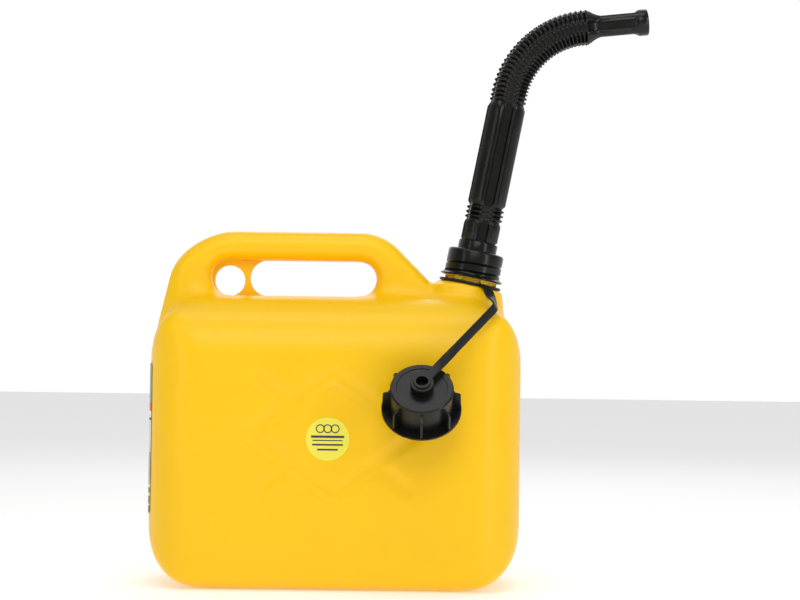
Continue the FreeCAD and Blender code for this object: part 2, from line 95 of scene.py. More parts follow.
def pick(obj, kind, test):
    """Go to edit mode on obj with only the vertices, edges or faces selected that test accepts.

    test gets the element's middle in millimetres and its direction or normal."""
    only(obj)
    bpy.ops.object.mode_set(mode="EDIT")
    bpy.ops.mesh.select_mode(type=kind)
    bpy.ops.mesh.select_all(action="DESELECT")
    bpy.ops.object.mode_set(mode="OBJECT")
    mesh = obj.data
    if kind == "VERT":
        for v in mesh.vertices:
            v.select = bool(test(v.co / MM, v.normal))
    elif kind == "EDGE":
        for e in mesh.edges:
            a, b = (mesh.vertices[i].co for i in e.vertices)
            e.select = bool(test((a + b) / 2 / MM, (b - a).normalized()))
    else:
        for f in mesh.polygons:
            f.select = bool(test(f.center / MM, f.normal))
    bpy.ops.object.mode_set(mode="EDIT")


def leave_edit():
    bpy.ops.object.mode_set(mode="OBJECT")


def round_edges(obj, radius, segments, test):
    """Bevel the edges that test accepts."""
    pick(obj, "EDGE", test)
    bpy.ops.mesh.bevel(offset=radius * MM, offset_type="OFFSET", segments=segments, affect="EDGES")
    leave_edit()


def slice_off(obj, point, normal):
    """Cut away what lies on the normal's side of a plane, and close the cut."""
    pick(obj, "VERT", lambda p, n: True)
    bpy.ops.mesh.bisect(plane_co=[c * MM for c in point], plane_no=normal, use_fill=True, clear_outer=True)
    leave_edit()


def apply(obj, kind, **settings):
    """Add a modifier to obj and apply it."""
    only(obj)
    modifier = obj.modifiers.new(kind.lower(), kind)
    for key, value in settings.items():
        setattr(modifier, key, value)
    bpy.ops.object.modifier_apply(modifier=modifier.name)


def combine(obj, tool, operation):
    """Union, difference or intersection with a tool that is then thrown away."""
    apply(obj, "BOOLEAN", object=tool, operation=operation, solver="EXACT")
    bpy.data.objects.remove(tool)


can_high = Vector(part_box("can_body")[1]) / MM
half_width, half_depth = can_high.x, can_high.y
shoulder_z = 208.0
hair = 0.05  # keeps two outlines from sharing a plane


def along_y(p, d):
    return abs(d.y) > 0.99


can = block("can_body_skin", (-half_width, -half_depth - 5, 0), (half_width, half_depth + 5, shoulder_z))
round_edges(can, 42, 14, lambda p, d: along_y(p, d) and p.z < 1)
round_edges(can, 45, 14, lambda p, d: along_y(p, d) and p.z > shoulder_z - 1)
side = block("side", (-half_width - 5, -half_depth, -hair),
             (half_width + 5, half_depth, shoulder_z + hair))
round_edges(side, 18, 8, lambda p, d: abs(d.x) > 0.99 and p.z < 1)
round_edges(side, 43, 14, lambda p, d: abs(d.x) > 0.99 and p.z > shoulder_z - 1)
plan = block("plan", (-half_width - hair, -half_depth - hair, -5),
             (half_width + hair, half_depth + hair, 220))
round_edges(plan, 38, 14, lambda p, d: abs(d.z) > 0.99)
combine(can, side, "INTERSECT")
combine(can, plan, "INTERSECT")

apply(can, "REMESH", mode="VOXEL", voxel_size=3 * MM, use_smooth_shade=True)
apply(can, "SMOOTH", factor=0.5, iterations=30)


def merge(obj, others):
    """Join other pieces into obj as they lie."""
    only(obj)
    for other in others:
        other.select_set(True)
    bpy.ops.object.join()
    return obj


def rod(name, a, b, radius):
    """A round-ended rod between two points, in millimetres."""
    a, b = Vector(a), Vector(b)
    bar = drum(name, radius, 0, (b - a).length, sides=48)
    bar.rotation_euler = (b - a).to_track_quat("Z", "Y").to_euler()
    bar.location = a * MM
    ends = []
    for point in (a, b):
        bpy.ops.object.select_all(action="DESELECT")
        bpy.ops.mesh.primitive_uv_sphere_add(segments=48, ring_count=24, radius=radius * MM,
                                             location=point * MM)
        ends.append(settle(bpy.context.object, name))
    return merge(settle(bar, name), ends)


# shallow channels stiffen both large walls: a diamond with four short arms
channel_r, channel_depth = 12.5, 1.7
diamond_x, diamond_z, diamond_wide, diamond_tall = -1.0, 110.7, 58.5, 42.3
corners = [(diamond_x - diamond_wide, diamond_z), (diamond_x, diamond_z + diamond_tall),
           (diamond_x + diamond_wide, diamond_z), (diamond_x, diamond_z - diamond_tall)]
runs = list(zip(corners, corners[1:] + corners[:1]))
for right in (1, -1):
    for up in (1, -1):
        near, far = ((diamond_x + right * out, diamond_z + up * high) for out, high in ((30, 21), (52, 39)))
        runs.append((near, far))
rods = []
for front in (1, -1):
    y = front * (half_depth + channel_r - channel_depth)
    rods += [rod("channel", (a[0], y, a[1]), (b[0], y, b[1]), channel_r) for a, b in runs]
channels = merge(rods[0], rods[1:])
apply(channels, "REMESH", mode="VOXEL", voxel_size=1.2 * MM)
combine(can, channels, "DIFFERENCE")

# the handle: a slab cut to its four slopes, rounded at its corners and then along its rims
handle_half, rim = 17.0, 9.5
top_z = can_high.z
left_foot, left_knee, top_left = (-131.5, 182), (-120.5, 228), (-100, top_z)
top_right, right_knee, right_foot = (32.5, top_z), (68.5, 218), (80, 190)
handle = block("handle", (left_foot[0], -handle_half, 150), (right_foot[0], handle_half, top_z))
for (x0, z0), (x1, z1) in ((left_foot, left_knee), (left_knee, top_left),
                           (top_right, right_knee), (right_knee, right_foot)):
    slice_off(handle, (x0, 0, z0), Vector((z0 - z1, 0, x1 - x0)).normalized())
for (x, z), offset in ((left_foot, 7.1), (left_knee, 6.4), (top_left, 24.5), (top_right, 14.2),
                       (right_knee, 5.0)):
    round_edges(handle, offset, 8, lambda p, d: along_y(p, d) and math.hypot(p.x - x, p.z - z) < 1)
round_edges(handle, rim, 6, lambda p, d: abs(abs(p.y) - handle_half) < 0.01 and abs(d.y) < 0.01)


def slot_cutter(name, left, right, low, high, flat_half, flare, reach):
    """A cutter for a round-ended slot, whose ends widen in a quarter circle so that its rims come out round."""
    radius = (high - low) / 2
    cutter = drum(name, radius, -flat_half, flat_half, sides=64, start=math.radians(180 / 64))
    steps = 6
    for end in (1, -1):
        last = radius
        pick(cutter, "FACE", lambda p, n: math.hypot(p.x, p.y) < 1 and n.z * end > 0.9)
        for step in range(1, steps + 1):
            angle = math.pi / 2 * step / steps
            wide = radius + flare * (1 - math.cos(angle))
            rise = flare * (math.sin(angle) - math.sin(angle - math.pi / 2 / steps))
            bpy.ops.mesh.extrude_region_move(TRANSFORM_OT_translate={"value": (0, 0, end * rise * MM)})
            bpy.ops.transform.resize(value=(wide / last, wide / last, 1))
            last = wide
        bpy.ops.mesh.extrude_region_move(TRANSFORM_OT_translate={"value": (0, 0, end * reach * MM)})
        leave_edit()
    if right - left > high - low:
        pick(cutter, "VERT", lambda p, n: p.x > 0)
        bpy.ops.transform.translate(value=((right - left - 2 * radius) * MM, 0, 0))
        leave_edit()
    cutter.rotation_euler = (math.pi / 2, 0, 0)
    cutter.location = ((left + radius) * MM, 0, (low + high) / 2 * MM)
    return settle(cutter, name)


grip_low, grip_high, grip_right = 208.0, 233.9, 28.1
opening = slot_cutter("opening", -91.5, grip_right, grip_low, grip_high, handle_half - rim, rim, 4)
combine(handle, opening, "DIFFERENCE")

web_half, web_flat, web_rim = 1.9, 0.9, 1.4
web = block("web", (-96, -web_half, 200), (-52, web_half, 240))
grip = slot_cutter("grip", -64, grip_right, grip_low, grip_high, web_flat, web_rim, 2)
combine(web, grip, "DIFFERENCE")
finger = slot_cutter("finger", -89.75, -67.85, 208.05, 229.95, web_flat, web_rim, 2)
combine(web, finger, "DIFFERENCE")

# the shoulder under the neck: a drum that flares into the tank, cut level with the neck's foot
neck_foot = Vector((95.9, 0, 217.5))
neck_tilt = math.radians(11)
neck_up = Vector((math.sin(neck_tilt), 0, math.cos(neck_tilt)))
flare_r, tower_r = 35.6, 25.0
flare_steps = [(flare_r, 167.8), (34.1, 176.4), (32.6, 180.7), (30.3, 185.0), (27.4, 189.3), (25.6, 193.6),
               (tower_r, 199.0), (tower_r, 240.0)]
tower = drum("tower", flare_r, 150, 160)
pick(tower, "FACE", lambda p, n: n.z > 0.9)
last_radius, last_z = flare_r, 160.0
for radius, z in flare_steps:
    bpy.ops.mesh.extrude_region_move(TRANSFORM_OT_translate={"value": (0, 0, (z - last_z) * MM)})
    bpy.ops.transform.resize(value=(radius / last_radius, radius / last_radius, 1))
    last_radius, last_z = radius, z
leave_edit()
tower.location.x = neck_foot.x * MM
settle(tower, "tower")
slice_off(tower, neck_foot, neck_up)
round_edges(tower, 4, 4, lambda p, d: abs((p - neck_foot).dot(neck_up)) < 0.01)
# the level saddle between the shoulder and the foot of the handle
saddle_r, saddle_top, saddle_left = 24, 218.6, 8
saddle = drum("saddle", saddle_r, 170, saddle_top)
saddle.location.x = (neck_foot.x - saddle_left) * MM
settle(saddle, "saddle")
slice_off(saddle, neck_foot - neck_up * 0.5, neck_up)

for part in (handle, tower, saddle):
    combine(can, part, "UNION")
# the base stands on its rim round this shallow panel
panel = block("panel", (-75, -30, -5), (75, 30, 1.5))
round_edges(panel, 20, 6, lambda p, d: abs(d.z) > 0.99)
combine(can, panel, "DIFFERENCE")


def placed(obj, matrix):
    """Put a piece that was made about the origin in its place, for good."""
    obj.matrix_world = matrix
    only(obj)
    bpy.ops.object.transform_apply(location=True, rotation=True, scale=True)
    return obj


neck_place = Matrix.Translation(neck_foot * MM) @ Matrix.Rotation(neck_tilt, 4, "Y")
bore_r = 14.9
combine(can, placed(drum("bore", bore_r, -30, 20), neck_place), "DIFFERENCE")
apply(can, "REMESH", mode="VOXEL", voxel_size=1.8 * MM, use_smooth_shade=True)
apply(can, "SMOOTH", factor=0.5, iterations=8)


def soften(obj, times, test):
    """Smooth the vertices that test accepts."""
    pick(obj, "VERT", test)
    bpy.ops.mesh.vertices_smooth(factor=0.5, repeat=times)
    leave_edit()


# the handle and the round shoulder grow out of the tank without a crease
for end, times in ((42, 50), (50, 25), (60, 15)):
    soften(can, times, lambda p, n: 192 < p.z < 228 and 10 < abs(p.y) < 50 and p.x < end)
soften(can, 30, lambda p, n: 188 < p.z < 213 and 24 < math.hypot(p.x - neck_foot.x, p.y) < 44)
combine(can, web, "UNION")


def stacked(name, rings, sides=96):
    """A closed round piece drawn through rings, each given as its radius and height in millimetres."""
    radius, z = rings[0]
    bpy.ops.object.select_all(action="DESELECT")
    bpy.ops.mesh.primitive_circle_add(vertices=sides, radius=radius * MM, fill_type="NGON",
                                      location=(0, 0, z * MM))
    obj = settle(bpy.context.object, name)
    pick(obj, "FACE", lambda p, n: True)
    for wide, high in rings[1:]:
        bpy.ops.mesh.extrude_region_move(TRANSFORM_OT_translate={"value": (0, 0, (high - z) * MM)})
        bpy.ops.transform.resize(value=(wide / radius, wide / radius, 1),
                                 center_override=(0, 0, high * MM))
        radius, z = wide, high
    bpy.ops.mesh.select_all(action="SELECT")
    bpy.ops.mesh.normals_make_consistent(inside=False)
    leave_edit()
    return obj


def helix(name, radius, depth, width, low, pitch, turns, start):
    """A thread's ridge: a pointed section wound about Z."""
    bpy.ops.object.select_all(action="DESELECT")
    bpy.ops.mesh.primitive_circle_add(vertices=4, radius=0.5 * MM, fill_type="NOTHING",
                                      rotation=(math.pi / 2, 0, 0))
    coil = settle(bpy.context.object, name)
    coil.scale = (2 * depth, 1, width)
    coil.location = (radius * MM, 0, low * MM)
    settle(coil, name)
    apply(coil, "SCREW", axis="Z", angle=math.tau * turns, screw_offset=pitch * turns * MM,
          steps=int(48 * turns), render_steps=int(48 * turns), use_merge_vertices=False)
    coil.rotation_euler.z = start
    settle(coil, name)
    pick(coil, "VERT", lambda p, n: True)
    bpy.ops.mesh.fill_holes(sides=8)
    bpy.ops.mesh.select_all(action="SELECT")
    bpy.ops.mesh.normals_make_consistent(inside=False)
    leave_edit()
    return coil


neck_r, neck_high, pitch, teeth = 17.1, 21.5, 6.0, 6
neck = stacked("neck", [(neck_r, -2), (neck_r, 3.9), (18.4, 4.2), (18.4, 5.4), (neck_r, 5.8),
                        (neck_r, neck_high - 0.8), (neck_r - 0.8, neck_high)])
combine(neck, drum("bore", bore_r - 0.3, -5, 30), "DIFFERENCE")
for number in range(teeth):
    turn = math.tau * number / teeth
    tooth = block("tooth", (neck_r - 0.5, -3.2, 2.4), (18.9, 3.2, 5.0))
    round_edges(tooth, 1.2, 3, lambda p, d: abs(d.x) > 0.99 and p.z < 3)
    combine(neck, placed(tooth, Matrix.Rotation(turn, 4, "Z")), "UNION")
combine(neck, helix("thread", neck_r, 1.4, 2.6, 9.5, pitch, 1.5, 0), "UNION")
combine(can, placed(neck, neck_place), "UNION")


def shade(code):
    """An sRGB hex colour as the linear one that the shader takes."""
    values = [int(code[i:i + 2], 16) / 255 for i in (1, 3, 5)]
    return [v / 12.92 if v <= 0.04045 else ((v + 0.055) / 1.055) ** 2.4 for v in values] + [1.0]


def add(tree, kind, inputs=None, **settings):
    """Add a node. Each input gets a value, or the output socket of another node."""
    new = tree.nodes.new(kind)
    for key, value in settings.items():
        setattr(new, key, value)
    for key, value in (inputs or {}).items():
        if isinstance(value, bpy.types.NodeSocket):
            tree.links.new(value, new.inputs[key])
        else:
            new.inputs[key].default_value = value
    return new


def finish_of(name):
    """A new material with its node tree and its Principled shader."""
    made = bpy.data.materials.new(name)
    made.use_nodes = True
    return made, made.node_tree, made.node_tree.nodes["Principled BSDF"]


def coat(obj, material, angle=35):
    """Give a finished piece its one material and smooth shading up to an angle in degrees."""
    obj.data.materials.clear()
    obj.data.materials.append(material)
    only(obj)
    bpy.ops.object.shade_smooth_by_angle(angle=math.radians(angle))


# High-density polyethylene with yellow pigment, blown against a blasted mould: satin, a little light sinks in,
# and the wall's uneven thickness gives broad clouds in the colour.
can_plastic, tree, shader = finish_of("blown HDPE, satin yellow")
place = add(tree, "ShaderNodeTexCoord").outputs["Object"]
clouds = add(tree, "ShaderNodeTexNoise", {"Vector": place, "Scale": 22.0, "Detail": 3.0, "Roughness": 0.5})
colour_a, colour_b, mixed = 6, 7, 2  # sockets of a Mix node that mixes colours
colour = add(tree, "ShaderNodeMix", {"Factor": clouds.outputs["Fac"], colour_a: shade("#FFC600"),
                                     colour_b: shade("#FFCE04")}, data_type="RGBA")
grain = add(tree, "ShaderNodeTexNoise", {"Vector": place, "Scale": 900.0, "Detail": 2.0, "Roughness": 0.6})
ripple = add(tree, "ShaderNodeTexNoise", {"Vector": place, "Scale": 60.0, "Detail": 2.0, "Roughness": 0.4})
relief = add(tree, "ShaderNodeMath", {0: ripple.outputs["Fac"], 1: 6.0}, operation="MULTIPLY")
relief = add(tree, "ShaderNodeMath", {0: relief.outputs[0], 1: grain.outputs["Fac"]}, operation="ADD")
# the parting line: a ridge a few tenths of a millimetre wide where the two mould halves met
across = add(tree, "ShaderNodeSeparateXYZ", {"Vector": place}).outputs["Y"]
off = add(tree, "ShaderNodeMath", {0: across}, operation="ABSOLUTE")
line = add(tree, "ShaderNodeMapRange", {"Value": off.outputs[0], "From Min": 0.0, "From Max": 0.0006,
                                        "To Min": 4.0, "To Max": 0.0}, interpolation_type="SMOOTHSTEP")
relief = add(tree, "ShaderNodeMath", {0: relief.outputs[0], 1: line.outputs[0]}, operation="ADD")
bump = add(tree, "ShaderNodeBump", {"Height": relief.outputs[0], "Strength": 0.25, "Distance": 0.00008})
gloss = add(tree, "ShaderNodeMapRange", {"Value": clouds.outputs["Fac"], "To Min": 0.3, "To Max": 0.4})
tree.links.new(colour.outputs[mixed], shader.inputs["Base Color"])
tree.links.new(bump.outputs["Normal"], shader.inputs["Normal"])
tree.links.new(gloss.outputs[0], shader.inputs["Roughness"])
shader.inputs["IOR"].default_value = 1.5
shader.inputs["Specular IOR Level"].default_value = 0.35
shader.inputs["Subsurface Weight"].default_value = 0.12
shader.inputs["Subsurface Radius"].default_value = (0.006, 0.004, 0.001)
shader.inputs["Subsurface Scale"].default_value = 1.0

coat(can, can_plastic)
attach(can, "can")
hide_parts("can_body")

# ---------------------------------------------------------------- spout base
# The spout is one flexible blow moulding in black low-density polyethylene. Its lower end is a screw cap with a
# thin lens-shaped flange, a coarse thread that shows outside as a dent, and a round stub under the fluted stem.
flute_half, flute_flat = 5.9, 0.58  # half width of a flute, and the share of it that is floor
sides_of_four = ((1, 0), (0, 1), (-1, 0), (0, -1))
spout_turn = math.radians(6)  # the flutes stand a little off the can's own planes


def press_flutes(obj, low, high, floor, half=flute_half, kept=0.0):
    """Press four flutes into a round wall between two heights. kept is the share of its relief left in them."""
    for x, y in sides_of_four:
        for reach, left in ((half, 0.5), (half * flute_flat, kept)):
            pick(obj, "VERT", lambda p, n: low < p.z < high and p.x * x + p.y * y > floor * 0.8
                 and abs(p.x * y - p.y * x) < reach)
            bpy.ops.transform.resize(value=(left if x else 1, left if y else 1, 1),
                                     center_override=(x * floor * MM, y * floor * MM, 0))
            leave_edit()


def on_neck(obj, turn=spout_turn):
    return placed(obj, neck_place @ Matrix.Rotation(turn, 4, "Z"))


def ridges(low, high, count, groove, ridge):
    """Rings of a bellows from groove to groove."""
    step = (high - low) / count
    shape = ((0.22, 0.45), (0.38, 0.93), (0.5, 1.0), (0.62, 0.93), (0.78, 0.45), (1.0, 0.0))
    rings = [(groove, low)]
    for i in range(count):
        rings += [(groove + share * (ridge - groove), low + (i + along) * step) for along, share in shape]
    return rings


skirt_bore, ceiling, skirt_r, stub_r, stem_r = 18.95, 23.2, 20.3, 14.2, 14.2
stem_low, stem_high = 32.3, 48.5
lower_groove, lower_ridge = 12.8, 14.6  # of the three low corrugations
rings = [(skirt_bore, ceiling), (skirt_bore, 5.4), (21.4, 5.1), (22.9, 5.7), (22.9, 6.1), (21.6, 7.0),
         (20.5, 7.6), (skirt_r, 8.2), (skirt_r, 23.4), (20.1, 24.1), (19.6, 24.8), (18.8, 25.2), (17.8, 25.4),
         (stub_r, 25.5), (stub_r, 31.6), (stub_r - 0.2, 32.1), (stub_r - 0.7, stem_low)]
base = stacked("spout_base_skin", rings)
groove = helix("dent", skirt_r + 0.35, 1.25, 2.6, 7.9, pitch, 1.6, math.pi)
combine(base, groove, "DIFFERENCE")
stem = stacked("stem", [(stem_r - 1.2, stem_low - 1), (stem_r - 1.0, stem_low + 0.2),
                        (stem_r, stem_low + 1.6), (stem_r, stem_high - 3.6), (stem_r - 0.4, stem_high - 1.8),
                        (lower_groove, stem_high)])
press_flutes(stem, stem_low - 2, stem_high + 1, 10.9)
combine(base, stem, "UNION")
on_neck(base)

# Low-density polyethylene with carbon black: soft, a greasy satin, scuffed paler where it is handled.
spout_plastic, tree, shader = finish_of("moulded LDPE, satin black")
place = add(tree, "ShaderNodeTexCoord").outputs["Object"]
scuffs = add(tree, "ShaderNodeTexNoise", {"Vector": place, "Scale": 70.0, "Detail": 6.0, "Roughness": 0.7})
worn = add(tree, "ShaderNodeMapRange", {"Value": scuffs.outputs["Fac"], "From Min": 0.45, "From Max": 0.8})
colour = add(tree, "ShaderNodeMix", {"Factor": worn.outputs[0], colour_a: shade("#080907"),
                                     colour_b: shade("#121310")}, data_type="RGBA")
grain = add(tree, "ShaderNodeTexNoise", {"Vector": place, "Scale": 1400.0, "Detail": 2.0, "Roughness": 0.6})
bump = add(tree, "ShaderNodeBump", {"Height": grain.outputs["Fac"], "Strength": 0.3, "Distance": 0.00005})
gloss = add(tree, "ShaderNodeMapRange", {"Value": scuffs.outputs["Fac"], "To Min": 0.16, "To Max": 0.34})
tree.links.new(colour.outputs[mixed], shader.inputs["Base Color"])
tree.links.new(bump.outputs["Normal"], shader.inputs["Normal"])
tree.links.new(gloss.outputs[0], shader.inputs["Roughness"])
shader.inputs["IOR"].default_value = 1.51
shader.inputs["Specular IOR Level"].default_value = 0.32


def finish_spout_piece(obj, node):
    """Colour a piece of the spout and let it stand for its solid."""
    coat(obj, spout_plastic, 40)
    if node:
        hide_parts(node)


finish_spout_piece(base, "spout_base")
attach(base, "spout_base")

# ---------------------------------------------------------------- lower bellows
# Three corrugations of the same moulding, where the spout gives a little above its base.
lower_low, lower_high = stem_high, 58.6
lower = stacked("lower_bellows", ridges(lower_low, lower_high, 3, lower_groove, lower_ridge))
press_flutes(lower, lower_low - 1, lower_high + 1, 10.6, kept=0.35)
on_neck(lower)
finish_spout_piece(lower, None)
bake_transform(lower)

# ---------------------------------------------------------------- spout tube
# The long stiff length: four round lobes with chamfered ends and four flat flutes between them, and above it
# the first two corrugations of the long bellows, which stand straight.
tube_r, tube_high, bend_start = 14.6, 136.5, 142.9
hose_groove, hose_ridge, hose_floor, hose_kept = 12.7, 14.2, 10.3, 0.3
lobe_ends = [(lower_groove, lower_high), (13.0, lower_high + 0.4), (tube_r - 0.3, lower_high + 2.2),
             (tube_r, lower_high + 3)]
lobe_tops = [(tube_r, tube_high - 4.6), (tube_r - 0.3, tube_high - 3.8), (13.0, tube_high - 0.4)]
tube = stacked("spout_tube_skin", lobe_ends + [(tube_r, 75), (tube_r, 97), (tube_r, 118)] + lobe_tops
               + ridges(tube_high, bend_start, 2, hose_groove, hose_ridge))
press_flutes(tube, lower_high - 1, tube_high - 0.2, 11.0)
press_flutes(tube, tube_high - 0.2, bend_start + 1, hose_floor, kept=hose_kept)
# the mould's parting line leaves a thin rib of flash in the two side flutes
for turn in (0, math.pi):
    flash = block("flash", (10.4, -0.3, lower_high + 3), (11.7, 0.3, tube_high - 5))
    combine(tube, placed(flash, Matrix.Rotation(turn, 4, "Z")), "UNION")
on_neck(tube)
finish_spout_piece(tube, "spout_tube")
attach(tube, "spout_tube")

# ---------------------------------------------------------------- long bellows
# The part of the spout that bends: fluted corrugations of equal pitch, drawn as six equal lengths, each of
# which takes up the turn between two bodies.
joints = {joint["name"]: joint for joint in frame["record"]["behaviour"]["joints"]}
lengths = 6
bend_turn, bend_radius = math.radians(73.0), 61.93
length_turn = bend_turn / lengths
length_high = bend_radius * length_turn
bend_place = neck_place @ Matrix.Translation((0, 0, bend_start * MM))


def along_bend(number):
    """Where the given length of the bend starts."""
    out = Matrix.Translation((bend_radius * MM, 0, 0))
    return bend_place @ out @ Matrix.Rotation(number * length_turn, 4, "Y") @ out.inverted()


length = stacked("hose_0", ridges(0, length_high, 4, hose_groove, hose_ridge))
press_flutes(length, -1, length_high + 1, hose_floor, kept=hose_kept)
placed(length, Matrix.Rotation(spout_turn, 4, "Z"))
apply(length, "SIMPLE_DEFORM", deform_method="BEND", deform_axis="Y", angle=length_turn)
coat(length, spout_plastic, 40)
for number in range(lengths):
    piece = length.copy()
    piece.data = length.data.copy()
    bpy.context.collection.objects.link(piece)
    piece.name = piece.data.name = f"hose_{number + 1}"
    placed(piece, along_bend(number))
    finish_spout_piece(piece, f"bellows_link_{number + 1}" if number < lengths - 1 else None)
    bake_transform(piece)
bpy.data.objects.remove(length)

# ---------------------------------------------------------------- nozzle
# The end of the same moulding: it narrows to a deeply fluted waist and opens to a plain round mouth.
waist_r, mouth_r, bore_end = 9.1, 9.65, 7.3
rings = [(hose_groove, 0), (hose_ridge, 0.9), (hose_ridge, 1.5), (13.6, 2.3), (13.2, 3.0), (12.4, 4.6),
         (11.2, 6.6), (10.1, 8.6), (9.3, 10.6), (waist_r, 12.4), (waist_r, 20), (waist_r, 28), (waist_r, 36.5),
         (9.3, 38.4), (mouth_r - 0.1, 39.6), (mouth_r, 40.4), (mouth_r, 45.9), (mouth_r - 0.5, 46.6),
         (8.4, 46.8), (bore_end, 46.3), (bore_end, 41), (6.4, 37)]
nozzle = stacked("nozzle_skin", rings)
press_flutes(nozzle, -1, 2.6, hose_floor, kept=hose_kept)
for z, floor, half in ((3.0, 9.8, 5.6), (4.6, 8.8, 5.3), (6.6, 7.7, 5.0), (8.6, 7.0, 4.7)):
    press_flutes(nozzle, z - 0.1, z + 0.1, floor, half)
for z in (10.6, 12.4, 20, 28, 36.5):
    press_flutes(nozzle, z - 0.1, z + 0.1, 6.6, 4.6)
press_flutes(nozzle, 38.3, 38.5, 8.0, 4.4)
placed(nozzle, along_bend(lengths) @ Matrix.Rotation(spout_turn, 4, "Z"))
finish_spout_piece(nozzle, "nozzle")
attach(nozzle, "nozzle")

# ---------------------------------------------------------------- gasket and seal
# A flat ring of black nitrile rubber under the spout's ceiling and a disc of polyethylene foam in the cap. Both
# are die-cut, and keep the frame's shapes.
gasket_rubber, tree, shader = finish_of("nitrile rubber, die-cut black")
place = add(tree, "ShaderNodeTexCoord").outputs["Object"]
talc = add(tree, "ShaderNodeTexNoise", {"Vector": place, "Scale": 300.0, "Detail": 3.0})
colour = add(tree, "ShaderNodeMix", {"Factor": talc.outputs["Fac"], colour_a: shade("#161616"),
                                     colour_b: shade("#262624")}, data_type="RGBA")
tree.links.new(colour.outputs[mixed], shader.inputs["Base Color"])
shader.inputs["Roughness"].default_value = 0.72
shader.inputs["IOR"].default_value = 1.52
seal_foam, tree, shader = finish_of("closed-cell polyethylene foam, off-white")
place = add(tree, "ShaderNodeTexCoord").outputs["Object"]
cells = add(tree, "ShaderNodeTexVoronoi", {"Vector": place, "Scale": 1500.0})
colour = add(tree, "ShaderNodeMix", {"Factor": cells.outputs["Distance"], colour_a: shade("#D9D6CC"),
                                     colour_b: shade("#F2F0E8")}, data_type="RGBA")
bump = add(tree, "ShaderNodeBump", {"Height": cells.outputs["Distance"], "Strength": 0.4, "Distance": 0.0001})
tree.links.new(colour.outputs[mixed], shader.inputs["Base Color"])
tree.links.new(bump.outputs["Normal"], shader.inputs["Normal"])
shader.inputs["Roughness"].default_value = 0.9
shader.inputs["IOR"].default_value = 1.3


def dress(node, material):
    """Give a solid of the frame its material."""
    slots = bpy.data.objects[node].material_slots
    for slot in slots:
        slot.material = material
    if not slots:
        bpy.data.objects[node].data.materials.append(material)


dress("spout_gasket", gasket_rubber)
dress("cap_seal", seal_foam)

# ---------------------------------------------------------------- tether
# One moulding in soft black polyethylene: a washer that lies loose round the neck, a flat strap that folds over
# and down, and an eyelet that is sprung over the stud of the cap. It flexes at its two folds.
tether_plastic, tree, shader = finish_of("moulded soft polyethylene, matt black")
place = add(tree, "ShaderNodeTexCoord").outputs["Object"]
scuffs = add(tree, "ShaderNodeTexNoise", {"Vector": place, "Scale": 110.0, "Detail": 5.0, "Roughness": 0.65})
colour = add(tree, "ShaderNodeMix", {"Factor": scuffs.outputs["Fac"], colour_a: shade("#0B0C0A"),
                                     colour_b: shade("#181917")}, data_type="RGBA")
bump = add(tree, "ShaderNodeBump", {"Height": scuffs.outputs["Fac"], "Strength": 0.25, "Distance": 0.0002})
tree.links.new(colour.outputs[mixed], shader.inputs["Base Color"])
tree.links.new(bump.outputs["Normal"], shader.inputs["Normal"])
shader.inputs["Roughness"].default_value = 0.4
shader.inputs["IOR"].default_value = 1.51
shader.inputs["Specular IOR Level"].default_value = 0.32

washer_r, washer_hole = 22.6, 17.7
washer = stacked("tether_washer", [(washer_hole + 0.2, 0.4), (washer_r - 0.3, 0.4), (washer_r, 0.7),
                                   (washer_r, 1.8), (washer_r - 0.3, 2.1), (washer_hole + 0.2, 2.1)])
combine(washer, drum("hole", washer_hole, -1, 4), "DIFFERENCE")
on_neck(washer, 0)
coat(washer, tether_plastic)
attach(washer, "tether_ring")
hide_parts("tether_ring")

turns = [joints[name] for name in ("strap_lift", "strap_fold", "cap_swivel")]
root, fold, eye = (Vector(turn["pos_m"]) / MM for turn in turns)
root_across, fold_across, cap_out = (Vector(turn["axis"]).normalized() for turn in turns)
leaves = root_across.cross(neck_up).normalized()
leaves *= math.copysign(1, leaves.y * -1)
upper_run, lower_run = (fold - root).normalized(), (eye - fold).normalized()
eye_across = lower_run.cross(cap_out).normalized()
eye_across *= math.copysign(1, eye_across.dot(fold_across))
strap_wide, strap_thick, fold_round = 6.4, 1.4, 3.2


def strap(name, rows):
    """A flat strap through rows, each the middle of its width and the direction across it."""
    mesh = bpy.data.meshes.new(name)
    points, faces = [], []
    for row, (middle, across) in enumerate(rows):
        along = rows[min(row + 1, len(rows) - 1)][0] - rows[max(row - 1, 0)][0]
        # the row leans where it isn't square to the run, so it is drawn longer to keep the strap's width
        slant = across.normalized() / max(0.6, math.sin(across.angle(along)))
        points += [(middle + slant * strap_wide * side) * MM for side in (-0.5, -0.17, 0.17, 0.5)]
    for row in range(len(rows) - 1):
        for column in range(3):
            first = row * 4 + column
            faces.append((first, first + 1, first + 5, first + 4))
    mesh.from_pydata(points, [], faces)
    made = bpy.data.objects.new(name, mesh)
    bpy.context.collection.objects.link(made)
    apply(made, "SOLIDIFY", thickness=strap_thick * MM, offset=0.0)
    apply(made, "BEVEL", width=0.35 * MM, segments=2, limit_method="ANGLE", angle_limit=math.radians(50))
    return made


def bent(a, corner, b, steps=8):
    """Points along a smooth turn from a to b that a corner pulls."""
    return [a.lerp(corner, k / steps).lerp(corner.lerp(b, k / steps), k / steps) for k in range(steps + 1)]


root_line = [root - leaves * 5.5, root - leaves * 4]
root_line += bent(root - leaves * 2.5, root, root + upper_run * 3)
root_line += [root.lerp(fold, share) for share in (0.2, 0.3, 0.4, 0.5)]
face_on = upper_run.cross(Vector((0, 1, 0))).normalized()
face_on *= math.copysign(1, face_on.dot(root_across))


def upper_across(point):
    """The strap twists from flat on its ring to nearly upright, and on to the line of its fold."""
    share = max(0, (point - root).dot(upper_run)) / (fold - root).length
    if share < 0.4:
        return root_across.lerp(face_on, share / 0.4)
    return face_on.lerp(fold_across, min(1, (share - 0.4) / 0.5))


